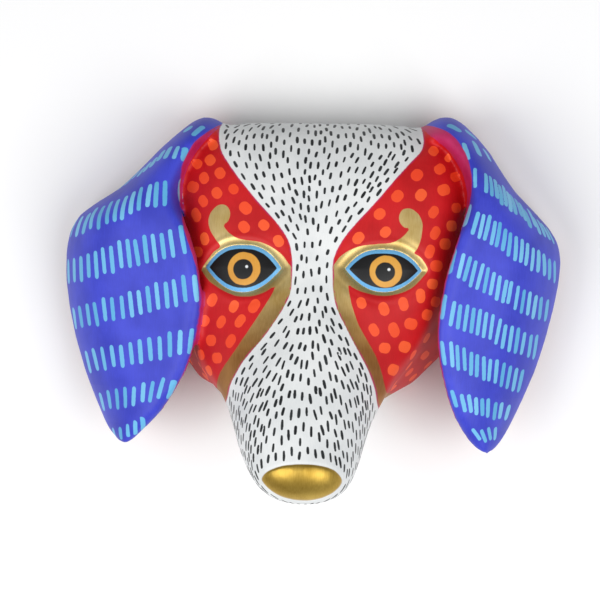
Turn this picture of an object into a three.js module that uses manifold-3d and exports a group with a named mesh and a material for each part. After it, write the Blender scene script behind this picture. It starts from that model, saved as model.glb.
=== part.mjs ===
// Carved wooden dog mask with hanging ears, one block of wood, hollow at the back.
// Millimetres. The mask lies on its flat back rim at Z = 0 with the face towards +Z.
// X runs across the face, Y runs from the nose to the crown. The face is laid out
// around a point between the eyes, and the finished mask is then centred on its outline.

import * as THREE from 'three';
import { mergeVertices } from 'three/addons/utils/BufferGeometryUtils.js';
import Module from 'manifold-3d';

const wasm = await Module();
wasm.setup();

// Head
const crownHeight = 96.5;       // eye line to the top of the head
const jawDrop = 84.5;           // eye line to the lower end of the back rim
const headHalfWidth = 99;      // at the back rim
const stopDepth = 99.5;        // wall to the dip between the eyes
const noseDepth = 149;         // wall to the top of the nose
const noseDrop = 147;          // eye line to the lowest point of the muzzle
const muzzleHalfWidth = 42.4;  // half way down the muzzle
const muzzleLean = 6.2;        // the muzzle leans this far to one side, as cut by hand
const jowlLean = 3;            // the jowls lean this much more
const noseLean = 2.4;          // and the nose leans this far
const wallThickness = 9;       // wood left around the hollow
const cutPast = 4;             // how far the hollow's cutter runs out of the back

// Eyes
const eyeSpacing = 91;         // centre to centre
const eyeLength = 57;          // carved opening, corner to corner
const eyeHeight = 36;          // carved opening, top to bottom
const socketDepth = 4;         // from the face down to the rim around the eyeball
const socketFloor = 0.84;      // share of the opening taken by its flat floor
const ballLength = 45;         // eyeball seen between the lids
const ballHeight = 26;
const ballStep = 0.4;          // edge of the eyeball above the socket's floor
const ballRise = 2.8;          // crown of the eyeball above its edge

// Muzzle carving
const creaseDepth = 1.8;       // groove where the cheek meets the muzzle
const creaseWidth = 24;
const nosePadStep = 0.6;       // edge of the nose above the muzzle
const nosePadRise = 0.8;       // middle of the nose above its edge
const nosePadHalfWidth = 25.5;
const nosePadMiddle = -131;    // widest line of the nose, from the eye line
const nosePadAbove = 11.5;     // from there to its upper edge
const nosePadBelow = 12.5;     // from there to its lower edge

// Ears
const earThickness = 8;
const earSlope = 36;           // fall of an ear's front over 100 mm on its way outward
const earLipDepth = 9;         // rounded inner edge, front to back, where it hangs free
const earRootDepth = 42;       // the same where it grows out of the head
const earLipRadius = 7;
const earFold = 34;            // width of the roundness towards the outer edge
const earFreeing = [0.27, 0.42];  // where, from root to tip, an ear parts from the head
const earTipStart = 0.95;      // where its tip starts to round off
const earFronts = [50, 70, 83, 91, 94, 94, 91, 85, 77, 68, 63];  // wall to the inner edge, root to tip
const earRims = [30, 36, 28, 20, 16, 15, 16, 20, 28, 41, 52];    // wall to the outer edge, root to tip

// Mesh fineness
const faceColumns = 42;
const chinColumns = 12;
const ringsPerSection = 2;
const hollowFaceColumns = 28;
const hollowChinColumns = 10;
const lipColumns = 4;
const flatColumns = 2;
const foldColumns = 6;
const earRows = 24;
const patchSpokes = 28;

// Sections of the head from the back rim to the nose. Each row has the height and depth of
// its upper end, the height and depth of its lower end, its half width, the squareness of its
// upper and lower halves, and where between the ends it is widest.
const headSections = [
  { top: [crownHeight, 0], low: [-jawDrop, 0], half: headHalfWidth - 1, upper: 5, lower: 3, widest: 0.54 },
  { top: [crownHeight + 1, 18], low: [-86.5, 9], half: headHalfWidth, upper: 5, lower: 3, widest: 0.54 },
  { top: [crownHeight + 1, 38], low: [-90, 18], half: headHalfWidth, upper: 4.8, lower: 2.7, widest: 0.54 },
  { top: [92.5, 57], low: [-94, 27], half: headHalfWidth - 1, upper: 4.2, lower: 2.3, widest: 0.54 },
  { top: [81.5, 72], low: [-98.5, 35], half: 93, upper: 3.6, lower: 2.05, widest: 0.55 },
  { top: [65, 83], low: [-103, 42.5], half: 86, upper: 3, lower: 1.85, widest: 0.55 },
  { top: [45, 90], low: [-108, 49.5], half: 80, upper: 2.6, lower: 1.75, widest: 0.55 },
  { top: [23, 95], low: [-112.5, 56], half: 73.5, upper: 2.35, lower: 1.62, widest: 0.54 },
  { top: [0, stopDepth], low: [-117, 62], half: 64.5, upper: 2.2, lower: 1.5, widest: 0.53 },
  { top: [-22, 107], low: [-121, 67.5], half: 55.5, upper: 2.1, lower: 1.6, widest: 0.52 },
  { top: [-46, 117.5], low: [-125, 73], half: 47.6, upper: 2.1, lower: 1.8, widest: 0.5 },
  { top: [-70, 128], low: [-129, 78.5], half: muzzleHalfWidth, upper: 2.1, lower: 2.1, widest: 0.5 },
  { top: [-94, 138.5], low: [-133, 84], half: 38.4, upper: 2.1, lower: 2.2, widest: 0.5 },
  { top: [-110, 145], low: [-136.5, 89.5], half: 34.7, upper: 2.2, lower: 2.3, widest: 0.5 },
  { top: [-121, noseDepth], low: [-140, 95.5], half: 31.2, upper: 2.3, lower: 2.3, widest: 0.5 },
  { top: [-132, 147], low: [-143, 102], half: 26.3, upper: 2.3, lower: 2.2, widest: 0.5 },
  { top: [-140, 141], low: [-145.5, 109], half: 19, upper: 2.1, lower: 2, widest: 0.5 },
  { top: [-145, 132.5], low: [0.4 - noseDrop, 116], half: 10.8, upper: 2, lower: 2, widest: 0.5 },
];
const nosePole = [-noseDrop, 124.5];

// Ear outlines, as distance out from the middle of the face and height above the eye line.
// The outer edge runs from the crown over the shoulder of the ear to its tip, and the inner
// edge from the crown down past the cheek to the tip.
const leftEar = {
  side: -1,
  outer: [[60, 93], [79, 100.5], [104, 82.5], [133.5, 54], [162, 35.5], [171.5, 14], [170, -21],
    [159, -63], [142, -101], [133, -111.5], [126, -115.8]],
  inner: [[60, 78], [73, 81], [85, 65], [90, 48], [87.5, 24], [79, -4], [76, -31],
    [82.5, -61], [99.5, -91.5], [114, -108.5], [123, -115.5]],
};
const rightEar = {
  side: 1,
  outer: [[60, 93.5], [83, 103.5], [107, 84], [126, 56.5], [149.5, 33], [158.5, 13], [155, -18],
    [144.5, -58], [128.5, -96], [120, -110.5], [113.5, -116]],
  inner: [[60, 78], [76.5, 82], [89.5, 67], [95.5, 48], [92, 26], [84, -1.5], [79, -34],
    [82, -62], [90, -90], [100.5, -108], [110.5, -115.8]],
};

// A smooth curve through a list of numbers or points, read at a fraction along the list.
function along(values, fraction) {
  const last = values.length - 1;
  const place = THREE.MathUtils.clamp(fraction, 0, 1) * last;
  const index = Math.min(Math.floor(place), last - 1);
  const f = place - index;
  const pick = (k) => values[THREE.MathUtils.clamp(k, 0, last)];
  const blend = (a, b, c, d) =>
    0.5 * (2 * b + (c - a) * f + (2 * a - 5 * b + 4 * c - d) * f * f + (3 * b - a - 3 * c + d) * f ** 3);
  const four = [pick(index - 1), pick(index), pick(index + 1), pick(index + 2)];
  if (Array.isArray(four[0])) return four[0].map((_, k) => blend(...four.map((v) => v[k])));
  return blend(...four);
}

// The groove that parts the cheek from the muzzle, starting under the eye.
function crease(x, y) {
  const start = [17, -14];
  const end = [52, -82];
  const f = THREE.MathUtils.clamp((start[1] - y) / (start[1] - end[1]), 0, 1);
  const line = THREE.MathUtils.lerp(start[0], end[0], f) - 3 * Math.sin(Math.PI * f);
  const reach = 2 * (x - line) / creaseWidth;
  const fadeIn = THREE.MathUtils.smoothstep(start[1] + 8 - y, 0, 20);
  return creaseDepth * Math.exp(-reach * reach) * fadeIn;
}

// Mesh building
function solidFrom(points, triangles) {
  const geometry = new THREE.BufferGeometry();
  geometry.setAttribute('position', new THREE.Float32BufferAttribute(points.flatMap((p) => p.toArray()), 3));
  geometry.setIndex(triangles);
  const merged = mergeVertices(geometry, 1e-4);
  const index = merged.index.array;
  const kept = [];
  for (let k = 0; k < index.length; k += 3) {
    const [a, b, c] = [index[k], index[k + 1], index[k + 2]];
    if (a !== b && b !== c && c !== a) kept.push(a, b, c);
  }
  const mesh = new wasm.Mesh({
    numProp: 3,
    vertProperties: new Float32Array(merged.attributes.position.array),
    triVerts: new Uint32Array(kept),
  });
  return new wasm.Manifold(mesh);
}

// Rings of points joined into a closed body: each ring is closed, and the ends are fanned
// to one point each.
function lofted(rings, startPoint, endPoint) {
  const count = rings[0].length;
  const points = rings.flat();
  const triangles = [];
  for (let i = 0; i + 1 < rings.length; i++) {
    for (let j = 0; j < count; j++) {
      const a = i * count + j;
      const b = i * count + (j + 1) % count;
      triangles.push(a, b + count, b, a, a + count, b + count);
    }
  }
  const first = points.push(startPoint) - 1;
  const last = points.push(endPoint) - 1;
  const offset = (rings.length - 1) * count;
  for (let j = 0; j < count; j++) {
    const next = (j + 1) % count;
    triangles.push(first, j, next);
    triangles.push(last, offset + next, offset + j);
  }
  return solidFrom(points, triangles);
}

// Head
function headAngles(faces, chins) {
  const faceSpread = THREE.MathUtils.degToRad(200);
  const chinSpread = 2 * Math.PI - faceSpread;
  const face = Array.from({ length: faces }, (_, j) => faceSpread * (j / faces - 0.5));
  const chin = Array.from({ length: chins }, (_, j) => faceSpread / 2 + chinSpread * j / chins);
  return [...face, ...chin];
}

function headPoint(fraction, angle) {
  const read = (key) => along(headSections.map((s) => s[key]), fraction);
  const [topY, topZ] = read('top');
  const [lowY, lowZ] = read('low');
  const length = Math.hypot(topY - lowY, topZ - lowZ);
  const widest = read('widest');
  const isUpper = Math.cos(angle) > 0;
  const tall = (isUpper ? 1 - widest : widest) * length;
  const squareness = read(isUpper ? 'upper' : 'lower');
  const sine = Math.abs(Math.sin(angle)) / read('half');
  const cosine = Math.abs(Math.cos(angle)) / tall;
  const radius = (sine ** squareness + cosine ** squareness) ** (-1 / squareness);
  const up = widest + radius * Math.cos(angle) / length;
  const y = THREE.MathUtils.lerp(lowY, topY, up);
  const z = THREE.MathUtils.lerp(lowZ, topZ, up);
  return new THREE.Vector3(radius * Math.sin(angle) - lean(y, z), y, z);
}

// Sideways lean of the head at a place: none above the eyes, most on the muzzle.
function lean(y, z) {
  const muzzle = THREE.MathUtils.smoothstep(-y, -15, 60);
  const nose = THREE.MathUtils.smoothstep(-y, 100, noseDrop);
  const jowls = Math.exp(-(((y + 68) / 14) ** 2)) * (1 - THREE.MathUtils.smoothstep(z, 60, 95));
  return muzzleLean * muzzle + (noseLean - muzzleLean) * nose + jowlLean * jowls;
}

function headNormal(fraction, angle) {
  const step = 0.004;
  const away = headPoint(fraction + step, angle).sub(headPoint(fraction - step, angle));
  const around = headPoint(fraction, angle + step).sub(headPoint(fraction, angle - step));
  return away.cross(around).normalize();
}

function headRings(offset, angles, ringCount) {
  const rings = [];
  for (let i = 0; i <= ringCount; i++) {
    const fraction = i / ringCount;
    rings.push(angles.map((angle) => {
      const point = headPoint(fraction, angle);
      const normal = headNormal(Math.max(fraction, 0.005), angle);
      if (i === 0) normal.setZ(0).normalize();
      const facing = THREE.MathUtils.smoothstep(normal.z, 0.1, 0.5);
      return point.addScaledVector(normal, -offset - crease(Math.abs(point.x), point.y) * facing);
    }));
  }
  return rings;
}

function headSolid() {
  const angles = headAngles(faceColumns, chinColumns);
  const rings = headRings(0, angles, (headSections.length - 1) * ringsPerSection);
  return lofted(rings, new THREE.Vector3(0, 0, 0), new THREE.Vector3(-noseLean, ...nosePole));
}

function hollow() {
  const angles = headAngles(hollowFaceColumns, hollowChinColumns);
  const rings = headRings(wallThickness, angles, headSections.length - 1);
  const behind = rings[0].map((p) => p.clone().setZ(-cutPast));
  const deepest = new THREE.Vector3(-noseLean, nosePole[0] + wallThickness, nosePole[1] - 2);
  return lofted([behind, ...rings], new THREE.Vector3(0, 0, -cutPast), deepest);
}

// Depth of the plain face straight in front of a place on the wall, found by Newton's steps
// on the head's own two coordinates.
function faceDepth(x, y) {
  let fraction = THREE.MathUtils.clamp((120 - y) / 270, 0.15, 0.9);
  let angle = THREE.MathUtils.clamp(x / 75, -1.2, 1.2);
  const step = 0.001;
  for (let k = 0; k < 30; k++) {
    const here = headPoint(fraction, angle);
    const f = headPoint(fraction + step, angle).sub(here).divideScalar(step);
    const a = headPoint(fraction, angle + step).sub(here).divideScalar(step);
    const determinant = f.x * a.y - a.x * f.y;
    const missX = x - here.x;
    const missY = y - here.y;
    fraction += THREE.MathUtils.clamp((missX * a.y - missY * a.x) / determinant, -0.08, 0.08);
    angle += THREE.MathUtils.clamp((f.x * missY - f.y * missX) / determinant, -0.3, 0.3);
    fraction = THREE.MathUtils.clamp(fraction, 0.01, 0.985);
    angle = THREE.MathUtils.clamp(angle, -2, 2);
  }
  return headPoint(fraction, angle).z;
}

// A closed patch over the face: outline gives its edge at an angle, and front and back its
// two surfaces at a share of the way from its middle to the edge.
function patch(middle, outline, shares, front, back) {
  const ring = (share, surface) => Array.from({ length: patchSpokes }, (_, j) => {
    const [ox, oy] = outline(-2 * Math.PI * j / patchSpokes);
    const x = middle[0] + ox * share;
    const y = middle[1] + oy * share;
    return new THREE.Vector3(x, y, surface(x, y, share));
  });
  const backs = shares.map((share) => ring(share, back));
  const fronts = shares.map((share) => ring(share, front)).reverse();
  const centre = (surface) => new THREE.Vector3(...middle, surface(...middle, 0));
  return lofted([...backs, ...fronts], centre(back), centre(front));
}

// An almond with two pointed corners.
function almond(length, height) {
  return (angle) => {
    const x = Math.cos(angle);
    return [x * length / 2, Math.sign(Math.sin(angle)) * (1 - x * x) * height / 2];
  };
}

// Eyes
function eyeFloor(side) {
  const reach = eyeLength * 0.36;
  const middle = faceDepth(side * eyeSpacing / 2, 0);
  const outer = faceDepth(side * (eyeSpacing / 2 + reach), 0);
  const inner = faceDepth(side * (eyeSpacing / 2 - reach), 0);
  const upper = faceDepth(side * eyeSpacing / 2, eyeHeight / 3);
  const lower = faceDepth(side * eyeSpacing / 2, -eyeHeight / 3);
  return (x, y) => {
    const u = (side * x - eyeSpacing / 2) / reach;
    const v = y / (eyeHeight / 3);
    const bow = (outer + inner - 2 * middle) / 2;
    return middle + (outer - inner) / 2 * u + bow * u * u + (upper - lower) / 2 * v - socketDepth;
  };
}

function socket(side) {
  const floor = eyeFloor(side);
  const above = (x, y) => faceDepth(x, y) + 3;
  const below = (x, y, share) => {
    const bevel = THREE.MathUtils.smoothstep(share, socketFloor, 1.1);
    return THREE.MathUtils.lerp(floor(x, y), faceDepth(x, y) + 0.5, bevel);
  };
  const shares = [0.3, 0.6, socketFloor, 0.92, 1, 1.05];
  return patch([side * eyeSpacing / 2, 0], almond(eyeLength, eyeHeight), shares, above, below);
}

function eyeball(side) {
  const floor = eyeFloor(side);
  const dome = (x, y, share) => floor(x, y) + ballStep + ballRise * Math.sqrt(1 - share * share);
  const root = (x, y) => floor(x, y) - 2;
  const shares = [0.3, 0.55, 0.77, 0.92, 1];
  return patch([side * eyeSpacing / 2, 0], almond(ballLength, ballHeight), shares, dome, root);
}

// Nose
function nosePad() {
  const outline = (angle) => {
    const tall = Math.sin(angle) > 0 ? nosePadAbove : nosePadBelow;
    const squareness = Math.sin(angle) > 0 ? 2.7 : 2.1;
    const across = Math.abs(Math.cos(angle)) / nosePadHalfWidth;
    const up = Math.abs(Math.sin(angle)) / tall;
    const radius = (across ** squareness + up ** squareness) ** (-1 / squareness);
    return [radius * Math.cos(angle), radius * Math.sin(angle)];
  };
  const front = (x, y, share) => faceDepth(x, y) + nosePadStep + nosePadRise * Math.sqrt(1 - share ** 6);
  const back = (x, y) => faceDepth(x, y) - 3;
  return patch([-noseLean, nosePadMiddle], outline, [0.4, 0.7, 0.88, 0.96, 1], front, back);
}

// Ears: a slab that is rounded tightly at its inner edge and broadly at its outer one, hollow
// behind as a leaf is. Each row runs from the inner edge to the outer one.
function earRow(ear, down, back) {
  const narrowing = THREE.MathUtils.clamp((down - earTipStart) / (1 - earTipStart), 0, 0.98);
  const pinch = 0.5 * (1 - Math.sqrt(1 - narrowing ** 2));
  const [innerEnd, outerEnd] = [along(ear.inner, down), along(ear.outer, down)];
  const inner = innerEnd.map((v, k) => THREE.MathUtils.lerp(v, outerEnd[k], pinch));
  const outer = outerEnd.map((v, k) => THREE.MathUtils.lerp(v, innerEnd[k], pinch));
  const width = Math.hypot(outer[0] - inner[0], outer[1] - inner[1]);
  const free = THREE.MathUtils.smoothstep(down, ...earFreeing);
  const lipDepth = THREE.MathUtils.lerp(earRootDepth, earLipDepth, free);
  const inset = Math.min(back, width * 0.3);
  const lip = Math.min(earLipRadius, width * 0.3);
  const fold = Math.min(earFold, width * 0.62) - inset / 2;
  const flat = width - 2 * inset - lip - fold;
  const row = [];
  const addPoint = (place, drop) => {
    const front = along(earFronts, down) - earSlope * place / 100 - inset - drop;
    const x = THREE.MathUtils.lerp(inner[0], outer[0], place / width);
    const y = THREE.MathUtils.lerp(inner[1], outer[1], place / width);
    row.push(new THREE.Vector3(ear.side * x, y, front));
  };
  for (let k = 0; k < lipColumns; k++) {
    const turn = Math.PI / 2 * k / lipColumns;
    addPoint(inset + lip * (1 - Math.cos(turn)), (lipDepth - inset) * (1 - Math.sin(turn)));
  }
  for (let k = 0; k < flatColumns; k++) addPoint(inset + lip + flat * k / flatColumns, 0);
  for (let k = 0; k <= foldColumns; k++) {
    const turn = Math.PI / 2 * k / foldColumns;
    const place = inset + lip + flat + fold * Math.sin(turn);
    const front = along(earFronts, down) - earSlope * place / 100 - inset;
    addPoint(place, (front - along(earRims, down)) * (1 - Math.cos(turn)));
  }
  return row;
}

function earSolid(ear) {
  const rings = Array.from({ length: earRows + 1 }, (_, i) => {
    const share = i / earRows;
    const down = 0.02 + 0.49 * (share + 0.5 - 0.5 * Math.cos(Math.PI * share));
    return [...earRow(ear, down, 0), ...earRow(ear, down, earThickness).reverse()];
  });
  if (ear.side < 0) rings.forEach((ring) => ring.reverse());
  const middle = (ring) => {
    const sum = ring.reduce((total, point) => total.add(point), new THREE.Vector3());
    return sum.divideScalar(ring.length);
  };
  return lofted(rings, middle(rings[0]), middle(rings[rings.length - 1]));
}

const sides = [-1, 1];
let mask = headSolid();
for (const side of sides) mask = mask.subtract(socket(side)).add(eyeball(side));
mask = mask.add(nosePad()).add(earSolid(leftEar)).add(earSolid(rightEar)).subtract(hollow());
const box = mask.boundingBox();
mask = mask.translate([-(box.min[0] + box.max[0]) / 2, -(box.min[1] + box.max[1]) / 2, 0]);
const result = mask.getMesh();

const geometry = new THREE.BufferGeometry();
geometry.setAttribute('position', new THREE.BufferAttribute(new Float32Array(result.vertProperties), 3));
geometry.setIndex(new THREE.BufferAttribute(new Uint32Array(result.triVerts), 1));

const paintedWood = new THREE.MeshStandardMaterial({ color: 0xe9ebec, roughness: 0.5, metalness: 0 });
const carvedMask = new THREE.Mesh(geometry, paintedWood);
carvedMask.name = 'carved_mask';

const group = new THREE.Group();
group.add(carvedMask);

export default group;
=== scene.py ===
# A carved and painted wooden dog mask that lies on its flat back rim, seen from above.
import math

import bpy
import numpy as np
from mathutils import Matrix, Vector, kdtree, noise
from mathutils.bvhtree import BVHTree


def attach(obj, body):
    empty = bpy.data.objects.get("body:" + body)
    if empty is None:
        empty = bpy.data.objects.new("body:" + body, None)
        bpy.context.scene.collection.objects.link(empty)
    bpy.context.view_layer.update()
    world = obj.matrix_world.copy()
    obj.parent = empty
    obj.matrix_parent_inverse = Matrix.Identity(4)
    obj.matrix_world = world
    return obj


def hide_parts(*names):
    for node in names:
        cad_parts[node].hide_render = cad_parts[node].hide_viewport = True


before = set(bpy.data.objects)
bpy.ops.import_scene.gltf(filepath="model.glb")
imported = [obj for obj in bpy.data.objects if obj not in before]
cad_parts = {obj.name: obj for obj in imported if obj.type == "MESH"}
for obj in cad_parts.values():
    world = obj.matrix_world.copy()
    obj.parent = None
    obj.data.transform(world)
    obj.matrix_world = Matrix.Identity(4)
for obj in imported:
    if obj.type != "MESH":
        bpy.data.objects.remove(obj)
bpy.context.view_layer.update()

mm = 0.001
dice = np.random.default_rng(7)


# Geometry helpers. Outlines are plan views in mm, x to the right and y to the crown.
def rounded(points, closed=False, steps=5):
    points = np.array(points, float)
    if closed:
        ring = np.vstack([points[-1:], points, points[:2]])
    else:
        ring = np.vstack([2 * points[0] - points[1], points, 2 * points[-1] - points[-2]])
    made = []
    for before, start, end, after in zip(ring, ring[1:], ring[2:], ring[3:]):
        for t in np.arange(steps) / steps:
            made.append(0.5 * (2 * start + (end - before) * t
                               + (2 * before - 5 * start + 4 * end - after) * t * t
                               + (3 * start - before - 3 * end + after) * t ** 3))
    if not closed:
        made.append(points[-1])
    return np.array(made)


def awayFrom(spots, line):
    best = np.full(len(spots), 1e9)
    for start, end in zip(line[:-1], line[1:]):
        along = end - start
        share = np.clip((spots - start) @ along / (along @ along + 1e-12), 0, 1)
        gap = spots - start - share[:, None] * along
        best = np.minimum(best, np.einsum("ij,ij->i", gap, gap))
    return np.sqrt(best)


def within(spots, outline):
    ring = np.vstack([outline, outline[:1]])
    inside = np.zeros(len(spots), bool)
    for (ax, ay), (bx, by) in zip(ring[:-1], ring[1:]):
        if ay == by:
            continue
        crosses = (spots[:, 1] > ay) != (spots[:, 1] > by)
        inside ^= crosses & (spots[:, 0] < ax + (spots[:, 1] - ay) * (bx - ax) / (by - ay))
    return np.where(inside, 1.0, -1.0) * awayFrom(spots, ring)


def smoothStep(value, low, high):
    share = np.clip((value - low) / (high - low), 0, 1)
    return share * share * (3 - 2 * share)


def edgesOf(mesh):
    ends = np.empty(len(mesh.edges) * 2, np.int32)
    mesh.edges.foreach_get("vertices", ends)
    return ends.reshape(-1, 2)


def placesOf(mesh):
    flat = np.empty(len(mesh.vertices) * 3)
    mesh.vertices.foreach_get("co", flat)
    return flat.reshape(-1, 3) / mm


def normalsOf(mesh):
    flat = np.empty(len(mesh.vertices) * 3)
    mesh.vertex_normals.foreach_get("vector", flat)
    return flat.reshape(-1, 3)


def setPlaces(mesh, places):
    mesh.vertices.foreach_set("co", (places * mm).ravel())
    mesh.update()


def neighbourMean(values, edges):
    count = np.bincount(edges.ravel(), minlength=len(values))
    mean = np.empty_like(values)
    for k in range(values.shape[1]):
        total = np.bincount(edges[:, 0], values[edges[:, 1], k], len(values))
        total += np.bincount(edges[:, 1], values[edges[:, 0], k], len(values))
        mean[:, k] = total / np.maximum(count, 1)
    return mean


def relaxed(values, edges, steps, strength):
    for _ in range(steps):
        values = values + strength * (neighbourMean(values, edges) - values)
    return values


def reached(seeds, free, edges):
    held = seeds.copy()
    while True:
        touched = np.zeros_like(held)
        touched[edges[held[edges[:, 1]], 0]] = True
        touched[edges[held[edges[:, 0]], 1]] = True
        grown = held | (touched & free)
        if grown.sum() == held.sum():
            return held
        held = grown


# The outlines of the painting
whiteLeft = [(-60.4, 116.1), (-60.1, 108.3), (-58.6, 101.8), (-55.3, 94.6), (-44.7, 80.4), (-31.9, 65.7),
             (-19.5, 52.6), (-14.3, 46.3), (-10.7, 40.5), (-8.5, 33.7), (-7.5, 25.9), (-7.4, 15.1),
             (-7.9, 7.3), (-10.5, 0.5), (-14.1, -6.4), (-23.2, -20.6), (-35.6, -35.8), (-40.5, -43.8),
             (-44.8, -51.8), (-47.1, -59.9), (-49.5, -66)]
whiteRight = [(70.5, 119.1), (72.3, 113.3), (73.4, 106.6), (72, 100.2), (67.8, 94.9), (56.6, 81.4),
              (45.4, 67.2), (33.2, 53.1), (27.6, 46.2), (23, 39.2), (19.8, 32.3), (18.4, 25.5),
              (18.8, 15.7), (19.2, 9.9), (20.4, 3.1), (23, -4.5), (31.7, -20.7), (41.2, -37.9),
              (44.6, -45.7), (47.1, -53.5), (48.3, -61.3), (49.5, -67)]
stripeLeft = [(-17.9, 10.5), (-20.6, 4.1), (-30.7, -12.6), (-41.6, -29.3), (-52, -44.4), (-54.4, -50),
              (-56, -56)]
stripeRight = [(28.5, 12.2), (29.3, 7.2), (32, -2.4), (36.2, -13), (46.1, -30.2), (49.6, -38.9),
               (52, -47.7), (53.4, -54), (54.5, -58)]
goldLeft = [(-17.9, 10.5), (-23.7, 7.5), (-29.6, 5.1), (-35.6, 4), (-42.7, 4.3), (-48.9, 6.2), (-55.2, 9.3),
            (-61.5, 13.6), (-65.3, 18), (-66.9, 21), (-63.5, 26.4), (-58.9, 32.3), (-54.7, 35.8),
            (-58.2, 40.7), (-61.5, 45.6), (-63.2, 51), (-62.7, 55.5), (-60.4, 59.4), (-56.5, 62.4),
            (-52.4, 62.3), (-49.5, 59.5), (-48.9, 55.6), (-50.4, 51.6), (-52.9, 49.8), (-51.8, 47.2),
            (-48.6, 44), (-43.9, 41.4), (-37.9, 40), (-30.9, 39.3), (-24.9, 37.7), (-18.8, 34.4),
            (-13.8, 30.6), (-10.1, 25.8), (-6, 20), (-5, 8)]
goldRight = [(28.5, 12.2), (30.6, 11.6), (35.5, 9.3), (42.1, 7.5), (49.8, 6.4), (56.6, 7.1), (64.2, 9.5),
             (69.9, 13.1), (75.1, 19.1), (78.2, 23.6), (75.6, 28.9), (72.5, 32.2), (69.5, 34.1),
             (71.4, 37.1), (73.2, 42.5), (74.2, 48.4), (73.9, 54.3), (71.3, 59.1), (67.4, 62.1),
             (63.5, 62.5), (60.6, 60.7), (59.3, 56.8), (60.1, 53.1), (62.8, 50.2), (66, 49.9),
             (64.4, 47.1), (60.6, 43.1), (54.9, 40.2), (47.2, 39.3), (39.5, 38.4), (32.8, 36.8),
             (27, 33.9), (22.8, 30.4), (19.6, 26), (15, 20), (15, 8)]
earRoots = [[(-59.8, 115.7), (-62.9, 111.8), (-66.1, 107.8), (-70.1, 103), (-73.9, 97.8), (-77.2, 92),
             (-79.9, 86), (-81.7, 79.6), (-82.4, 72.4), (-81, 62), (-78, 50)],
            [(70.4, 118.9), (73.2, 116), (76.8, 112.2), (81.6, 108.2), (87.8, 103.2), (92.2, 98.2),
             (96.2, 92), (99.6, 85.2), (101.6, 78.2), (102.6, 72), (101.5, 62), (98, 50)]]
earOuter = [[(57, 108), (78, 96), (90, 91), (102, 87), (108, 81), (114, 74), (118, 64)],
            [(57, 112), (78, 104), (94, 99), (102, 98), (108, 92), (114, 82), (118, 74)]]
crests = [[(-50, 125), (-59.8, 117), (-65.3, 112.1), (-68.5, 109.1), (-72, 105.8), (-75, 102.3),
           (-77.7, 97.2), (-80, 92.1), (-81.8, 87.3), (-82.7, 82.3), (-83.8, 74.2), (-83.4, 66),
           (-81.8, 59.3), (-76.9, 42.6), (-71.5, 27.8), (-67.8, 14.6), (-65.7, 0)],
          [(60, 124), (70.4, 120), (78.3, 117.6), (83.8, 115.5), (89.5, 112.6), (94.5, 108), (98.2, 103),
           (101.7, 96.6), (103.7, 89.8), (105, 81.7), (104.8, 72.4), (102.8, 61.9), (99.4, 49.5),
           (95.5, 39.7), (92, 27.3), (89.1, 16.4), (86.7, 2.7), (85.5, -11), (85.6, -24.9), (87.7, -35.1)]]


# A pointed oval around a middle, with its own height and fullness above and below
def almond(middle, half, above, below, topPower=2.7, bottomPower=2.1):
    points = []
    for side, tall, power in ((-1, above, topPower), (1, -below, bottomPower)):
        for share in np.linspace(-1, 1, 25)[:-1]:
            x = -side * math.sin(share * math.pi / 2)
            points.append((middle[0] + half * x, middle[1] + tall * (1 - abs(x) ** power)))
    return np.array(points)


eyes = [
    {"ring": almond((-39.5, 22.3), 25, 14.6, 15.5), "black": almond((-39.5, 22.3), 22.2, 12.2, 12.9),
     "iris": (-38.5, 21.7), "pupil": (-39.1, 21.4), "glint": (-36.8, 23.1),
     "irisHalf": 10.6, "pupilHalf": 6.5},
    {"ring": almond((50.3, 23), 24.2, 12.9, 14.2), "black": almond((50.4, 22.9), 21.7, 10.5, 11.7),
     "iris": (51.8, 21.9), "pupil": (51.5, 21.6), "glint": (53.8, 23.2),
     "irisHalf": 10.2, "pupilHalf": 6.2},
]
nose = rounded([(-20.3, -108.4), (-17.6, -104.6), (-13.4, -101.9), (-7.4, -99.7), (-1.1, -98.6), (5, -98.2),
                (11.1, -98.3), (17.4, -99.2), (23, -101), (26.9, -104), (29.2, -108), (28.2, -111.6),
                (25.6, -114.6), (22.1, -117.1), (17.4, -119.4), (11.7, -120.9), (5.5, -121.4), (-1.5, -120.9),
                (-8.1, -119.2), (-13, -116.7), (-16.9, -113.6), (-19.4, -110.9)], True, 3)

# The mask: the solid's shape without its facets, in even faces of about 1.65 mm
maskPiece = {"name": "painted_mask", "node": "carved_mask", "grain": 1.65 * mm, "rimPaint": 1.2,
             "eyeDepth": 3.7, "lensRise": 2.9, "handWork": 0.16, "tipBeyond": 115, "rootHeight": 60,
             "keptBehind": 0.1}
mask = bpy.data.objects.new(maskPiece["name"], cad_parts[maskPiece["node"]].data.copy())
bpy.context.scene.collection.objects.link(mask)
bpy.ops.object.select_all(action="DESELECT")
mask.select_set(True)
bpy.context.view_layer.objects.active = mask
bpy.ops.object.mode_set(mode="EDIT")
bpy.ops.mesh.select_all(action="SELECT")
bpy.ops.mesh.remove_doubles(threshold=0.00001)
bpy.ops.object.mode_set(mode="OBJECT")

# The ears hang free of the head below y 60, so there they are all that is reached from their tips
solid = mask.data
solidPlaces = placesOf(solid)
tips = (np.abs(solidPlaces[:, 0]) > maskPiece["tipBeyond"]) & (solidPlaces[:, 1] < 40)
hanging = reached(tips, solidPlaces[:, 1] < maskPiece["rootHeight"], edgesOf(solid))
solidFaces = [face.vertices[:] for face in solid.polygons]
earFaces = [any(hanging[v] for v in face) for face in solidFaces]

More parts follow.
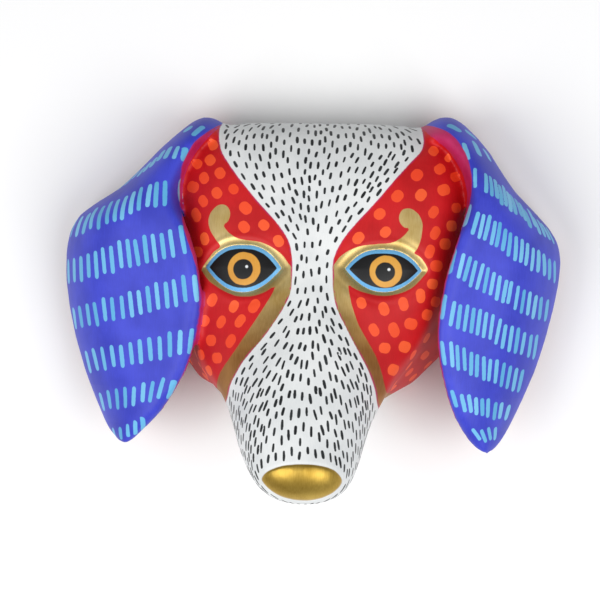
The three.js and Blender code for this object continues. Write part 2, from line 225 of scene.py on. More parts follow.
# The lip of each ear is eased in over the cheek and lifted clear of it, as on the original
for side, inwards, lift in ((-1, (2.8, 2.8, 4.8, 5.8, 7.4, 6.3, 3.2), 3.0), (1, (0.8,) * 7, 2.5)):
    x = solidPlaces[:, 0] * side
    y = solidPlaces[:, 1]
    lip = np.interp(y, [-90, -40, 0, 30, 70], [95, 88, 82, 88, 92])
    share = hanging * (x > 0) * (1 - smoothStep(x, lip, lip + 45))
    share = share * smoothStep(y, -95, -60) * (1 - smoothStep(y, 50, 66))
    solidPlaces[:, 0] -= share * side * np.interp(y, [-60, -10, 3, 21, 35, 47, 58], inwards)
    solidPlaces[:, 2] += share * lift
setPlaces(solid, solidPlaces)
solidTree = BVHTree.FromPolygons([Vector(place) for place in solidPlaces], solidFaces)

even = mask.modifiers.new("even faces", "REMESH")
even.mode = "VOXEL"
even.voxel_size = maskPiece["grain"]
bpy.ops.object.modifier_apply(modifier=even.name)
print("even faces", len(mask.data.polygons))



# The inside is all that is reached over the surface, above the rim, from the hollow behind the eyes
def insideOf(places, normals, edges):
    count = len(places)
    axis = np.stack([np.full(count, 3.0), np.clip(places[:, 1], -85, 60), np.full(count, 40.0)], 1)
    inward = np.einsum("ij,ij->i", normals, axis - places) > 0
    seed = inward & (np.abs(places[:, 0] - 5) < 20) & (np.abs(places[:, 1] - 30) < 20)
    return reached(seed, places[:, 2] > maskPiece["rimPaint"], edges)


mesh = mask.data
edges = edgesOf(mesh)
places = placesOf(mesh)
normals = normalsOf(mesh)
inner = insideOf(places, normals, edges)

# Facets of 8 to 10 mm are smoothed out twice over, so that the form keeps its size, and rounded
# edges such as the ears' lips are mostly left as they are
spread = relaxed(normals, edges, 12, 0.5)
flatness = smoothStep(np.linalg.norm(spread, axis=1), 0.8, 0.96)
pull = (0.06 + 0.44 * relaxed(flatness[:, None], edges, 6, 0.5))
once = relaxed(places, edges, 30, pull)
twice = once + relaxed(places - once, edges, 30, pull)
places = relaxed(twice, edges, 4, 0.5)
flat = placesOf(mesh)[:, 2] < 0.4
places[flat, 2] = 0
places[:, 2] = np.maximum(places[:, 2], 0)
for k, place in enumerate(places * 0.045):
    places[k] += normals[k] * maskPiece["handWork"] * noise.noise(Vector(place)) * (places[k, 2] > 1)
setPlaces(mesh, places)
print("smoothed")

# The hidden inside and the backs of the ears need fewer faces than the painted front
behind = inner | (normals[:, 2] < -0.25)
group = mask.vertex_groups.new(name="behind")
group.add(np.flatnonzero(behind).tolist(), 1.0, "REPLACE")
fewer = mask.modifiers.new("fewer behind", "DECIMATE")
fewer.ratio = 1 - (1 - maskPiece["keptBehind"]) * behind.mean()
fewer.vertex_group = group.name
bpy.ops.object.modifier_apply(modifier=fewer.name)
mask.vertex_groups.clear()
print("thinned behind", len(mask.data.polygons))

# Finer faces at the eyes and the nose
mesh = mask.data
places = placesOf(mesh)
near = within(places[:, :2], nose) > -5
for eye in eyes:
    near |= within(places[:, :2], eye["ring"]) > -9
near &= (places[:, 2] > 50) & (normalsOf(mesh)[:, 2] > 0)
chosen = [all(near[v] for v in face.vertices) for face in mesh.polygons]
bpy.ops.object.mode_set(mode="EDIT")
bpy.ops.mesh.select_all(action="DESELECT")
bpy.ops.object.mode_set(mode="OBJECT")
mesh.polygons.foreach_set("select", chosen)
bpy.ops.object.mode_set(mode="EDIT")
bpy.ops.mesh.select_mode(type="FACE")
bpy.ops.mesh.subdivide(number_cuts=1)
bpy.ops.object.mode_set(mode="OBJECT")
print("finer at the eyes", len(mesh.polygons))

# Each eye is a lens that stands in a hollow socket. Its floor follows the face around it.
edges = edgesOf(mesh)
places = placesOf(mesh)
normals = normalsOf(mesh)
onHanging = np.array([earFaces[solidTree.find_nearest(Vector(place))[2]] for place in places])
front = (normals[:, 2] > 0.05) & (places[:, 2] > 50) & ~onHanging
for eye in eyes:
    into = within(places[:, :2], eye["ring"])
    x, y = ((places[:, :2] - eye["iris"]) / 30).T
    powers = np.stack([x ** a * y ** b for a in range(4) for b in range(4 - a)], 1)
    around = front & (into > -14) & (into < -6)
    fit = np.linalg.lstsq(powers[around], places[around, 2], rcond=None)[0]
    level = powers @ fit
    rise = np.clip(into / 13, 0, 1)
    lens = -maskPiece["eyeDepth"] + maskPiece["lensRise"] * np.sqrt(1 - (1 - rise) ** 2)
    fall = np.clip((into + 6) / 6, 0, 1)
    socket = -maskPiece["eyeDepth"] * fall ** 1.9
    shaped = level + np.where(into > 0, lens, socket)
    share = smoothStep(into, -10, -6.5) * front
    places[:, 2] += (shaped - places[:, 2]) * np.where(into > -10.5, share, 0)
into = within(places[:, :2], nose)
lift = 0.45 * smoothStep(into, -0.4, 0.8) - 0.3 * np.exp(-(into / 0.8) ** 2)
places += normals * (lift * (front & (into > -4)))[:, None]
setPlaces(mesh, places)
print("eyes and nose shaped")

# How far each point is inside every painted area, in mm
normals = normalsOf(mesh)
plan = places[:, :2]
count = len(places)
height = places[:, 2]
inner = insideOf(places, normals, edges)
bare = np.where(inner, 6.0, maskPiece["rimPaint"] - height)

ear = np.full(count, -20.0)
for side, root, outer in zip((-1, 1), earRoots, earOuter):
    own = places[:, 0] * side > 0
    outline = np.vstack([rounded(root), [(side * 130, 40)], [(side * 220, 40)], [(side * 220, 160)],
                         [(root[0][0], 160)]])
    beyond = within(plan, outline)
    floor = 66 - 18 * smoothStep(plan[:, 1], 57, 100) - 15 * smoothStep(plan[:, 1], 108, 117)
    grown = np.minimum(beyond, height - floor)
    grown = np.maximum(grown, plan[:, 0] * side - np.interp(plan[:, 1], *np.transpose(outer)))
    ear = np.where(own & (plan[:, 1] >= 54), grown, ear)
    ear = np.where(own & onHanging & (plan[:, 1] < 54), 15.0, ear)
isEar = ear > 0

left = rounded(whiteLeft)
right = rounded(whiteRight)
whiteOutline = np.vstack([[(-60, 170)], left, [(-250, -68)], [(-250, -300)], [(250, -300)], [(250, -68)],
                          right[::-1], [(70, 170)]])
white = within(plan, whiteOutline)
gold = np.full(count, -30.0)
for side, around, stripe in ((-1, goldLeft, stripeLeft), (1, goldRight, stripeRight)):
    band = np.vstack([rounded(stripe), [(side * 250, stripe[-1][1] - 1)], [(side * 250, -80)], [(0, -80)],
                      [(0, 12)]])
    gold = np.maximum(gold, np.maximum(within(plan, rounded(around, True, 3)), within(plan, band)))
noseIn = np.where(front, within(plan, nose), -20)
magenta = np.full(count, -20.0)
for side, crest in zip((-1, 1), crests):
    line = rounded(crest)
    inwards = np.vstack([line, [(0, line[-1][1])], [(0, 150)], [(line[0][0], 150)]])
    magenta = np.where(isEar & (places[:, 0] * side > 0), within(plan, inwards), magenta)

# On the hanging part of an ear the magenta covers what turns in towards the cheek, and the 3 mm
# next to it
turnedIn = 3 * (1.2 * np.maximum(-normals[:, 2], 0) - normals[:, 0] * np.sign(plan[:, 0]) - 0.8)
cheek = np.flatnonzero(~isEar & (np.abs(plan[:, 0]) > 50) & (height > 20))
cheekTree = kdtree.KDTree(len(cheek))
for k in cheek:
    cheekTree.insert(places[k], k)
cheekTree.balance()
for k in np.flatnonzero(isEar & (plan[:, 1] < 60) & (np.abs(plan[:, 0]) < 110)):
    turnedIn[k] = max(turnedIn[k], 3.2 - cheekTree.find(places[k])[2])
turnedIn -= 6 * smoothStep(plan[:, 1], 44, 60)
magenta = np.where(isEar & (plan[:, 1] < 60), np.maximum(magenta - 0.4, turnedIn), magenta)

# A magenta line 0.9 mm wide runs around the white
edgeLine = 0.45 - np.abs(white + 0.35)
magenta = np.where(isEar, magenta, np.where(white < -3, -0.8, edgeLine))
ring = np.full(count, -20.0)
black = np.full(count, -20.0)
eyeAt = np.full((count, 3), 50.0)
for eye in eyes:
    own = front & (np.abs(plan[:, 0] - eye["iris"][0]) < 34)
    ring = np.where(own, within(plan, eye["ring"]), ring)
    black = np.where(own, within(plan, eye["black"]), black)
    iris = eye["irisHalf"] - np.linalg.norm(plan - eye["iris"], axis=1)
    pupil = eye["pupilHalf"] - np.linalg.norm(plan - eye["pupil"], axis=1)
    glint = 0.95 - np.linalg.norm(plan - eye["glint"], axis=1)
    eyeAt = np.where(own[:, None], np.stack([iris, pupil, glint], 1), eyeAt)
eyeAt = np.where(ring[:, None] > -2, eyeAt, -20)


def keep(name, values, domain="POINT"):
    attribute = mesh.attributes.new(name, "FLOAT_VECTOR", domain)
    attribute.data.foreach_set("vector", np.ascontiguousarray(values, np.float32).ravel())


keep("areas", np.stack([white, gold, noseIn], 1))
keep("bands", np.stack([magenta, ear, bare], 1))
keep("eyeShape", np.stack([ring, black, np.zeros(count)], 1))
keep("eyeAt", eyeAt)
print("areas measured")

# Faces as arrays
faceCount = len(mesh.polygons)
corners = np.empty(len(mesh.loops), np.int32)
mesh.loops.foreach_get("vertex_index", corners)
sides = np.empty(faceCount, np.int32)
mesh.polygons.foreach_get("loop_total", sides)
middles = np.empty(faceCount * 3)
mesh.polygons.foreach_get("center", middles)
middles = middles.reshape(-1, 3) / mm
facing = np.empty(faceCount * 3)
mesh.polygons.foreach_get("normal", facing)
facing = facing.reshape(-1, 3)
extent = np.empty(faceCount)
mesh.polygons.foreach_get("area", extent)
extent = extent / mm ** 2
owner = np.repeat(np.arange(faceCount), sides)
starts = np.concatenate([[0], np.cumsum(sides)[:-1]])


def onFaces(values):
    return np.add.reduceat(values[corners], starts) / sides


faceWhite = onFaces(white)
faceGold = onFaces(gold)
faceNose = onFaces(noseIn)
faceEar = onFaces(ear)
faceBare = onFaces(bare)
tree = BVHTree.FromPolygons([Vector(place) for place in places], [face.vertices[:] for face in mesh.polygons])

marks = []


def addMark(place, normal, lean, halfLong, halfWide, taper, kind):
    normal = np.array(normal, float)
    along = np.array(lean, float)
    along -= normal * (along @ normal)
    along /= np.linalg.norm(along) + 1e-9
    marks.append({"place": np.array(place, float), "normal": normal, "along": along, "kind": kind,
                  "halfLong": halfLong, "halfWide": halfWide, "taper": taper, "tone": dice.uniform()})


def dropped(x, y):
    place, normal, _, _ = tree.ray_cast(Vector((x, y, 400)), Vector((0, 0, -1)))
    return place, normal


# Which way the painter's strokes run on the white: along lines that share its width evenly
whiteRows = np.linspace(125, -125, 251)
leftEdge = np.interp(-whiteRows, -left[:, 1], left[:, 0])
rightEdge = np.interp(-whiteRows, -right[:, 1], right[:, 0])
taper = np.clip((-66 - whiteRows) / 59, 0, 1)
leftEdge = np.where(whiteRows < -66, -49.5 + 27 * taper ** 1.6, leftEdge)
rightEdge = np.where(whiteRows < -66, 49.5 - 20 * taper ** 1.6, rightEdge)


def flowAt(spots, outer):
    low = np.interp(-spots[:, 1], -whiteRows, leftEdge)
    high = np.interp(-spots[:, 1], -whiteRows, rightEdge)
    lowNext = np.interp(-spots[:, 1] - 3, -whiteRows, leftEdge)
    highNext = np.interp(-spots[:, 1] - 3, -whiteRows, rightEdge)
    share = np.clip((spots[:, 0] - low) / (high - low), -0.1, 1.1)
    drift = (lowNext - low) * (1 - share) + (highNext - high) * share
    along = np.array([0, 1, 0.12]) - outer * (outer @ np.array([0, 1, 0.12]))[:, None]
    along /= np.linalg.norm(along, axis=1)[:, None]
    along[:, 0] += along[:, 1] * drift / 3
    along -= outer * np.einsum("ij,ij->i", along, outer)[:, None]
    return along / np.linalg.norm(along, axis=1)[:, None]


# Dashes: seeds are spread evenly on the white by Lloyd's rule, in a measure that is twice as long
# along the strokes as across them
dashPiece = {"margin": 1.6, "rounds": 34, "settling": 12, "depth": 5, "overshoot": 1.35}
whiteFaces = np.flatnonzero((faceWhite > dashPiece["margin"]) & (faceNose < -1.8) & (faceEar < 0)
                            & (faceBare < -3))
area = extent[whiteFaces]
spots = middles[whiteFaces].astype(np.float32)
outer = facing[whiteFaces].astype(np.float32)
narrow = np.interp(spots[:, 1], [-60, 0, 35, 80], [3.9, 3.8, 4.2, 4.6])
far = np.interp(spots[:, 1], [-60, 0, 35, 80], [11.6, 10.8, 9.4, 8.8])
steep = np.where(spots[:, 1] > 40, np.clip(outer[:, 2], 0.4, 1) ** -0.5, 1)
far = far * steep
weight = area / (narrow * far)
howMany = int(weight.sum())
picked = dice.choice(len(spots), howMany, replace=False, p=weight / weight.sum())
heading = flowAt(spots, outer).astype(np.float32)
crossing = np.cross(outer, heading)
seeds = spots[picked].copy()
nearest = picked
lookup = kdtree.KDTree(len(spots))
for k, spot in enumerate(spots):
    lookup.insert(spot, k)
lookup.balance()
for step in range(dashPiece["rounds"]):
    apart = 0
    for way, unit in ((crossing, narrow[nearest]), (heading, far[nearest]), (outer, dashPiece["depth"])):
        own = way[nearest]
        apart = apart + ((spots @ own.T - np.einsum("ij,ij->i", seeds, own)) / unit) ** 2
    choice = apart.argmin(1)
    load = np.bincount(choice, weight, len(seeds))
    lost = load < 1e-6
    for k in range(3):
        mean = np.bincount(choice, weight * spots[:, k], len(seeds)) / np.maximum(load, 1e-9)
        seeds[:, k] += dashPiece["overshoot"] * (mean - seeds[:, k])
    if step < dashPiece["rounds"] - dashPiece["settling"]:
        seeds[lost] = spots[dice.choice(len(spots), lost.sum())]
    else:
        seeds = seeds[~lost]
    nearest = np.array([lookup.find(seed)[1] for seed in seeds])
for k in nearest:
    low = smoothStep(-spots[k, 1], -20, 60)
    long = (2.75 + 0.7 * low) * steep[k] * dice.uniform(0.82, 1.16)
    wide = (0.88 + 0.05 * low) * dice.uniform(0.82, 1.18)
    lean = heading[k] + crossing[k] * dice.normal(0, 0.06)
    addMark(spots[k], outer[k], lean, long - wide, wide, 0.4, "dash")
print("dashes", len(marks))

# Dots on the red: in their places on the front, and spread by chance where the face turns away
dotsAt = [(-63.2, 101.8), (-64.4, 91.9), (-72.8, 89.3), (-67.7, 80), (-57, 83.2), (-75.1, 74.2),
          (-58.4, 70.2), (-47.4, 72.8), (-67.5, 64.9), (-39, 60.6), (-72, 55.9), (-39.4, 48.4), (-26.6, 49.8), (-16.8, 39.8),
          (-65.5, 40.5), (-70.5, 32), (-69, 8.5), (-58.9, 1.3), (-44.3, -2.5), (-30.9, -1.9), (-64, -12.2),
          (-52.5, -12.6), (-39.7, -11.6), (-59.2, -24.6), (-45.5, -24.5), (-66.7, -34.3), (-54.7, -35.7),
          (-76, -43), (-61, -44.4),
          (78.3, 110), (79.9, 100.8), (89.5, 96.7), (84.4, 89), (69.9, 84.4), (94.4, 84.4), (87.3, 75.4),
          (72.8, 71.5), (57.9, 70.3), (95.6, 64.2), (81.1, 60.8), (47, 58.5), (92.9, 52.4), (51, 47),
          (82.5, 47.4), (34, 42.8), (89.1, 40.6), (79.4, 35.4), (84, 26.3), (81.7, 14.7), (74.3, 6.9),
          (83.8, 3.3), (37.2, 1.6), (63.5, 1.5), (51.3, -1.9), (78.7, -5.2), (68.4, -11.1), (45.5, -15.3),
          (57.9, -15.1), (78.2, -20.1), (64.8, -25.9), (52.4, -26.7), (77, -31.8), (67.1, -38.6),
          (78.1, -42), (58, -40.7), (56.6, -53.7)]
firstDot = len(marks)
rooms = kdtree.KDTree(count)
for k, place in enumerate(places):
    rooms.insert(place, k)
rooms.balance()
for x, y in dotsAt:
    place, normal = dropped(x, y)
    if place is None:
        continue
    room = -ear[rooms.find(place)[1]] - 0.6
    if room < 1:
        continue
    lean = flowAt(np.array([[x, y]]), np.array([normal]))[0]
    if normal.z < 0.8:
        lean = (normal.x, normal.y, 0)
    wide = max(min(dice.uniform(3.1, 3.7), room), 2)
    long = dice.uniform(0.5, 1.1) + wide * min(max(normal.z, 0.1) ** -0.6 - 1, 0.3)
    addMark(place, normal, lean, long, wide, 0, "dot")
held = [mark["place"] for mark in marks[firstDot:]]
hidden = np.flatnonzero((faceWhite < -5) & (faceGold < -5) & (faceEar < -4) & (faceBare < -5)
                        & (facing[:, 2] < 0.45))
for k in dice.permutation(hidden):
    if min(np.linalg.norm(middles[k] - spot) for spot in held) > 13.2:
        held.append(middles[k])
        addMark(middles[k], facing[k], (0, 0.3, 1), 0.6, dice.uniform(3.2, 3.7), 0, "dot")
print("dots", len(marks) - firstDot)

# Strokes on the ears: rows of (places, how many, extra first gap, lean at both ends in degrees, length,
# width), as they are seen from the front
earRows = [
    [((-80.5, 94.7), (-93.1, 95.5), (-110.5, 84.6), (-124.9, 75.3)), 10, 0, 15, 42, 9, 2.6],
    [((-83.9, 71.3), (-92.5, 69.8), (-123, 58.9), (-158.6, 46.8)), 14, 0.2, 0, 14, 16, 2.8],
    [((-78.5, 39.9), (-115.8, 28.9), (-160.8, 17.2)), 15, 0.3, -10, -3, 18, 2.8],
    [((-69.3, 9.2), (-109.7, -1.8), (-156.2, -12.9)), 15, 0.2, -6, -8, 17, 2.8],
    [((-72.4, -25.4), (-106.9, -32.9), (-145.4, -41)), 12, 0.1, 3, -16, 16, 2.8],
    [((-84.6, -56), (-107.6, -61.1), (-134.6, -67.4)), 9, 0.2, 18, -15, 14, 2.7],
    [((-104, -81.3), (-113.7, -84.5), (-125.6, -88.4)), 5, 0, 8, -12, 9, 2.6],
    [((106.8, 83), (117.2, 78.6), (136.7, 64), (157.1, 49.4)), 16, 1.1, 0, -26, 13.5, 2.3],
    [((102.4, 58), (130.7, 41), (160.4, 24.4)), 16, 0.6, 15, -3, 16, 2.4],
    [((93.5, 29.2), (123.1, 14), (155.5, -2.2)), 16, 0.5, 15, 3, 16.5, 2.4],
    [((88.5, -0.4), (118.3, -12.7), (148.9, -25.7)), 15, 0.5, 6, 7, 17, 2.4],
    [((89.2, -29.4), (94.7, -30), (116.9, -38.6), (139.6, -47.8)), 13, 0.3, -8, 11, 16, 2.4],
    [((97.1, -58.8), (113.9, -63.3), (131.1, -68.5)), 9, 0.5, -18, 12, 12.5, 2.4],
    [((111.6, -81.5), (116.9, -81.8), (123.9, -80.4)), 4, 0.2, -35, 0, 9, 2.3],
    [((-73.1, 110.9), (-80.4, 112.8)), 2, 0, 42, 55, 9, 3],
    [((93, 117.2), (104, 113.5)), 2, 0, -62, -62, 10, 2.8],
    [((101, 100.8), (106.5, 104.2), (114.5, 98.7)), 3, 0, -18, -25, 11, 2.8],
]
for line, number, extra, leanStart, leanEnd, length, width in earRows:
    track = rounded(line, steps=12)
    run = np.concatenate([[0], np.cumsum(np.linalg.norm(np.diff(track, axis=0), axis=1))])
    for k in range(number):
        share = (k + extra * min(k, 1)) / (number - 1 + extra)
        x = np.interp(share * run[-1], run, track[:, 0]) + dice.normal(0, 0.2)
        y = np.interp(share * run[-1], run, track[:, 1]) + dice.normal(0, 0.7)
        place, normal = dropped(x, y)
        if place is None or place.z < 3:
            continue
        turn = math.radians(leanStart + (leanEnd - leanStart) * share + dice.normal(0, 1.5))
        tilt = max(normal.z, 0.4)
        drop = -(math.sin(turn) * normal.x + math.cos(turn) * normal.y) / tilt
        stretch = math.hypot(1, drop)
        wide = width / 2 * dice.uniform(0.92, 1.08) * (1.1 - 0.16 * share) / (stretch * tilt)
        long = length / 2 * dice.uniform(0.93, 1.07) * (1.03 - 0.08 * share) * stretch
        addMark(place, normal, (math.sin(turn), math.cos(turn), drop), long - wide, wide, 0.12, "stroke")
print("marks", len(marks))

# Each face takes the nearest mark of its own area and measures its corners from it
kinds = np.where(faceEar > 0, "stroke", np.where((faceWhite > 0) & (faceNose < 0), "dash", "dot"))
taken = np.full(faceCount, -1)
for kind, number in (("dash", 3), ("dot", 3), ("stroke", 7)):
    own = [k for k, mark in enumerate(marks) if mark["kind"] == kind]
    samples = kdtree.KDTree(len(own) * number)
    for k in own:
        for share in np.linspace(-1, 1, number):
            samples.insert(marks[k]["place"] + marks[k]["along"] * marks[k]["halfLong"] * share, k)
    samples.balance()
    for k in np.flatnonzero((faceBare < 0.5) & (kinds == kind)):
        _, nearestMark, gap = samples.find(middles[k])
        if gap < 12:
            taken[k] = nearestMark
placesOfMarks = np.array([mark["place"] for mark in marks])
alongs = np.array([mark["along"] for mark in marks])
outs = np.array([mark["normal"] for mark in marks])
acrosses = np.cross(outs, alongs)
sizes = np.array([(mark["halfLong"], mark["halfWide"], mark["taper"]) for mark in marks])
tones = np.array([mark["tone"] for mark in marks])
taken[(taken >= 0) & (np.einsum("ij,ij->i", outs[taken], facing) < 0.15)] = -1
cornerMark = taken[owner]
offset = places[corners] - placesOfMarks[cornerMark]
markAt = np.stack([np.einsum("ij,ij->i", offset, acrosses[cornerMark]),
                   np.einsum("ij,ij->i", offset, alongs[cornerMark]),
                   tones[cornerMark]], 1)
markAt[cornerMark < 0] = (40, 40, 0)
keep("markAt", markAt, "CORNER")
keep("markSize", sizes[cornerMark], "CORNER")
bpy.ops.object.select_all(action="DESELECT")
mask.select_set(True)
bpy.context.view_layer.objects.active = mask
bpy.ops.object.shade_smooth()
print("marks laid on the faces")


# Materials
def toLinear(text):
    values = [int(text[k:k + 2], 16) / 255 for k in (1, 3, 5)]
    return [v / 12.92 if v <= 0.04045 else ((v + 0.055) / 1.055) ** 2.4 for v in values] + [1]


def addNode(tree, kind, inputs=None, **settings):
    node = tree.nodes.new(kind)
    for name, value in settings.items():
        setattr(node, name, value)
    for name, value in (inputs or {}).items():
        if isinstance(value, bpy.types.NodeSocket):
            tree.links.new(value, node.inputs[name])
        else:
            node.inputs[name].default_value = value
    return node


# Acrylic paint in a thin satin coat on copal wood: even colour with faint brush lines and soft
# wide highlights. The gold is bronze powder paint, brushed on, so it is streaky and half metallic.
paint = bpy.data.materials.new("satin_acrylic_on_copal_wood")
paint.use_nodes = True
paint.node_tree.nodes.clear()
net = paint.node_tree
where = addNode(net, "ShaderNodeTexCoord").outputs["Object"]
parts = {}
for name in ("areas", "bands", "eyeShape", "eyeAt", "markAt", "markSize"):
    stored = addNode(net, "ShaderNodeAttribute", attribute_name=name).outputs["Vector"]
    parts[name] = addNode(net, "ShaderNodeSeparateXYZ", {0: stored}).outputs
halfLong, halfWide, taper = parts["markSize"]
across, along, markTone = parts["markAt"]

# A hand's unsteadiness: waves of about 5 mm for the areas and 2 mm for the small marks
sway = addNode(net, "ShaderNodeTexNoise", {"Vector": where, "Scale": 200, "Detail": 2}).outputs[0]
shake = addNode(net, "ShaderNodeTexNoise", {"Vector": where, "Scale": 520, "Detail": 1}).outputs[0]

# Brush lines 0.4 mm wide and about 8 mm long, and a slow change of tone over 25 mm
stretched = addNode(net, "ShaderNodeMapping", {0: where, 3: (2400, 130, 700)}).outputs[0]
lines = addNode(net, "ShaderNodeTexNoise", {"Vector": stretched, "Scale": 1, "Detail": 2}).outputs[0]
slow = addNode(net, "ShaderNodeTexNoise", {"Vector": where, "Scale": 40, "Detail": 3}).outputs[0]
tone = addNode(net, "ShaderNodeMath", {0: lines, 1: 0.35, 2: slow}, operation="MULTIPLY_ADD").outputs[0]
tone = addNode(net, "ShaderNodeMapRange", {"Value": tone, "From Min": 0.5, "From Max": 0.86}).outputs[0]

# How far a point is inside its mark, in mm: a round-ended stroke that narrows towards both ends
length = addNode(net, "ShaderNodeMath", {0: along}, operation="ABSOLUTE").outputs[0]
whole = addNode(net, "ShaderNodeMath", {0: halfLong, 1: halfWide}, operation="ADD").outputs[0]
share = addNode(net, "ShaderNodeMath", {0: length, 1: whole}, operation="DIVIDE").outputs[0]
share = addNode(net, "ShaderNodeMath", {0: share, 1: share}, operation="MULTIPLY").outputs[0]
loss = addNode(net, "ShaderNodeMath", {0: share, 1: taper}, operation="MULTIPLY").outputs[0]
kept = addNode(net, "ShaderNodeMath", {0: 1.0, 1: loss}, operation="SUBTRACT").outputs[0]
wide = addNode(net, "ShaderNodeMath", {0: kept, 1: halfWide}, operation="MULTIPLY").outputs[0]
past = addNode(net, "ShaderNodeMath", {0: length, 1: halfLong}, operation="SUBTRACT").outputs[0]
past = addNode(net, "ShaderNodeMath", {0: past, 1: 0.0}, operation="MAXIMUM").outputs[0]
spot = addNode(net, "ShaderNodeCombineXYZ", {0: across, 1: past}).outputs[0]
spot = addNode(net, "ShaderNodeVectorMath", {0: spot}, operation="LENGTH").outputs["Value"]
inMark = addNode(net, "ShaderNodeMath", {0: wide, 1: spot}, operation="SUBTRACT").outputs[0]

# What covers what, from a distance in mm, the softness of its edge and the hand's unsteadiness
covers = {}
for name, distance, soft, unsteady, hand in (
        ("mark", inMark, 0.16, 0.4, shake), ("gold", parts["areas"][1], 0.22, 0.5, sway),
        ("white", parts["areas"][0], 0.22, 0.5, sway), ("nose", parts["areas"][2], 0.22, 0.4, sway),
        ("ear", parts["bands"][1], 0.3, 0.4, sway), ("magenta", parts["bands"][0], 0.3, 0.5, sway),
        ("ring", parts["eyeShape"][0], 0.2, 0.4, sway), ("black", parts["eyeShape"][1], 0.2, 0.5, sway),
        ("iris", parts["eyeAt"][0], 0.25, 0.7, sway), ("pupil", parts["eyeAt"][1], 0.25, 0.7, sway),
        ("glint", parts["eyeAt"][2], 0.3, 0.3, sway), ("bare", parts["bands"][2], 0.3, 1.2, sway)):
    moved = addNode(net, "ShaderNodeMath", {0: hand, 1: unsteady, 2: distance}, operation="MULTIPLY_ADD")
    covers[name] = addNode(net, "ShaderNodeMapRange", {
        "Value": moved.outputs[0], "From Min": unsteady / 2 - soft,
        "From Max": unsteady / 2 + soft}).outputs[0]

# Painted shade: the gold turns browner towards the bottom of the stripes, where the muzzle's sides face down
# and away from the light
low = addNode(net, "ShaderNodeSeparateXYZ", {0: where}).outputs[1]
low = addNode(net, "ShaderNodeMapRange", {"Value": low, "From Min": 0.012, "From Max": -0.03}).outputs[0]
grain = addNode(net, "ShaderNodeMapping", {0: where, 3: (800, 30, 800)}).outputs[0]
grain = addNode(net, "ShaderNodeTexNoise", {"Vector": grain, "Scale": 1, "Detail": 3}).outputs[0]

# Two tones of every paint, and what moves it from one to the other
tones = {}
for name, first, second, share in (
        ("red", "#b80a11", "#cc151a", tone), ("dot", "#ee4420", "#f7602f", markTone),
        ("whitePaint", "#d9dcdd", "#e8eaea", tone), ("dash", "#15171a", "#2c3032", markTone),
        ("blue", "#333bb6", "#4049ce", tone), ("stroke", "#57a9d8", "#78bfe6", markTone),
        # the brown tone is the bronze as painted shade, for the lower stripes
        ("bronze", "#c2a45f", "#dfc88c", tone), ("shadedBrown", "#9c6a38", "#bd8a4e", tone),
        ("nosePaint", "#a08030", "#c8a850", tone), ("magentaPaint", "#a91850", "#c02a66", tone),
        ("ringPaint", "#5aa3da", "#74b9ea", tone), ("irisPaint", "#cf9136", "#dfa546", tone),
        ("wood", "#c9a678", "#e2c79c", grain)):
    tones[name] = addNode(net, "ShaderNodeMix", {0: share, 6: toLinear(first), 7: toLinear(second)},
                          data_type="RGBA").outputs[2]
for name, below, above, amount in (
        ("red", "red", "dot", covers["mark"]), ("whitePaint", "whitePaint", "dash", covers["mark"]),
        # painted shade: the bronze gives way to the brown tone lower down the stripes
        ("blue", "blue", "stroke", covers["mark"]), ("bronze", "bronze", "shadedBrown", low)):
    tones[name] = addNode(net, "ShaderNodeMix", {0: amount, 6: tones[below], 7: tones[above]},
                          data_type="RGBA").outputs[2]

# The coats in the order they were laid, then the bare copal wood of the inside: pale cream with
# grain 1.2 mm apart that runs from the crown to the nose
colour = tones["red"]
for name, coat in (("gold", tones["bronze"]), ("white", tones["whitePaint"]), ("nose", tones["nosePaint"]),
                   ("ear", tones["blue"]), ("magenta", tones["magentaPaint"]),
                   ("ring", tones["ringPaint"]), ("black", toLinear("#0d0e10")),
                   ("iris", tones["irisPaint"]), ("pupil", toLinear("#101113")),
                   ("glint", toLinear("#e8ecee")), ("bare", tones["wood"])):
    colour = addNode(net, "ShaderNodeMix", {0: covers[name], 6: colour, 7: coat},
                     data_type="RGBA").outputs[2]

metal = covers["gold"]
for name in ("white", "ear", "magenta", "ring", "bare"):
    rest = addNode(net, "ShaderNodeMath", {0: 1.0, 1: covers[name]}, operation="SUBTRACT").outputs[0]
    metal = addNode(net, "ShaderNodeMath", {0: metal, 1: rest}, operation="MULTIPLY").outputs[0]
metal = addNode(net, "ShaderNodeMath", {0: metal, 1: covers["nose"]}, operation="MAXIMUM").outputs[0]
metalness = addNode(net, "ShaderNodeMath", {0: metal, 1: 0.85}, operation="MULTIPLY").outputs[0]
rough = addNode(net, "ShaderNodeMapRange", {"Value": lines, "To Min": 0.45, "To Max": 0.57}).outputs[0]
for name, more in (("bare", 0.25), ("nose", -0.1), ("gold", -0.04)):
    rough = addNode(net, "ShaderNodeMath", {0: covers[name], 1: more, 2: rough},
                    operation="MULTIPLY_ADD").outputs[0]

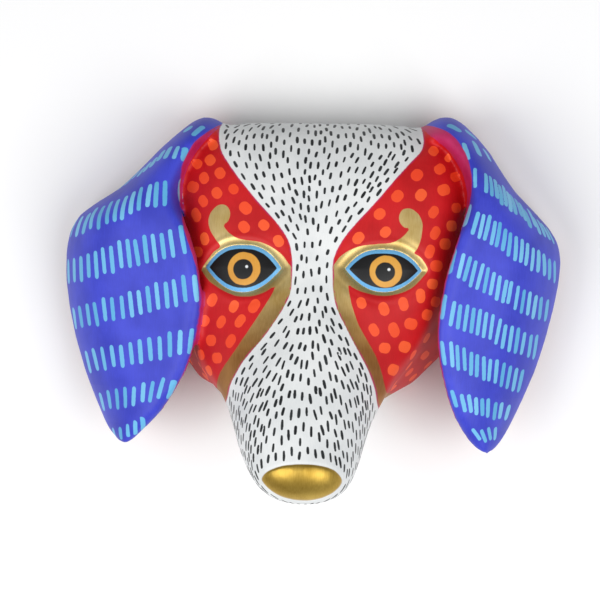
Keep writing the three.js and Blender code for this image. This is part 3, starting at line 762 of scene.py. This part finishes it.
# Paint ridges stand 0.02 mm, and gouge marks on the bare inside 0.3 mm over 7 mm
gouges = addNode(net, "ShaderNodeTexVoronoi", {"Vector": where, "Scale": 140}, feature="SMOOTH_F1").outputs[0]
gouges = addNode(net, "ShaderNodeMath", {0: gouges, 1: covers["bare"]}, operation="MULTIPLY").outputs[0]
relief = addNode(net, "ShaderNodeMath", {0: lines, 1: 0.00002}, operation="MULTIPLY").outputs[0]
for height, value in ((0.00003, covers["mark"]), (0.0006, gouges)):
    relief = addNode(net, "ShaderNodeMath", {0: value, 1: height, 2: relief},
                     operation="MULTIPLY_ADD").outputs[0]
bump = addNode(net, "ShaderNodeBump", {"Height": relief, "Distance": 1.0, "Strength": 1.0}).outputs[0]
shader = addNode(net, "ShaderNodeBsdfPrincipled", {
    "Base Color": colour, "Metallic": metalness, "Roughness": rough, "Normal": bump,
    "Specular IOR Level": 0.35})
addNode(net, "ShaderNodeOutputMaterial", {"Surface": shader.outputs[0]})
mask.data.materials.clear()
mask.data.materials.append(paint)
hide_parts(maskPiece["node"])
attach(mask, "root")
print("painted")

# Floor, lights and camera
bpy.ops.mesh.primitive_plane_add(size=6, location=(0, 0, 0))
floor = bpy.context.object
floor.name = "floor"
ground = bpy.data.materials.new("pale_matt_card")
ground.use_nodes = True
ground.node_tree.nodes["Principled BSDF"].inputs["Base Color"].default_value = toLinear("#f6f6f6")
ground.node_tree.nodes["Principled BSDF"].inputs["Roughness"].default_value = 0.9
floor.data.materials.append(ground)

world = bpy.data.worlds.new("soft_white")
bpy.context.scene.world = world
world.use_nodes = True
world.node_tree.nodes["Background"].inputs[0].default_value = (1, 1, 1, 1)
world.node_tree.nodes["Background"].inputs[1].default_value = 0.28
for side in (-1, 1):
    data = bpy.data.lights.new("softbox", "AREA")
    data.shape = "SQUARE"
    data.size = 1.1
    data.energy = 16.5
    lamp = bpy.data.objects.new("softbox", data)
    bpy.context.scene.collection.objects.link(lamp)
    lamp.location = (side * 0.8, -0.42, 1.4)
    lamp.rotation_euler = (Vector((0, 0, 0.08)) - lamp.location).to_track_quat("-Z", "Y").to_euler()
bpy.context.scene.view_settings.view_transform = "Standard"

turned, rolled = math.radians(4), math.radians(1.3)
acrossView = Vector((math.cos(turned), 0, -math.sin(turned)))
upView = Vector((0, 1, 0))
backView = Vector((math.sin(turned), 0, math.cos(turned)))
cameraData = bpy.data.cameras.new("camera")
cameraData.sensor_width = 36
cameraData.lens = 147.69
camera = bpy.data.objects.new("camera", cameraData)
bpy.context.scene.collection.objects.link(camera)
target = Vector((-4.643, 2.566, 60)) * mm
axisX = acrossView * math.cos(rolled) + upView * math.sin(rolled)
axisY = upView * math.cos(rolled) - acrossView * math.sin(rolled)
camera.matrix_world = (Matrix.Translation(target + backView * 1.6)
                       @ Matrix((axisX, axisY, backView)).transposed().to_4x4())
bpy.context.scene.camera = camera
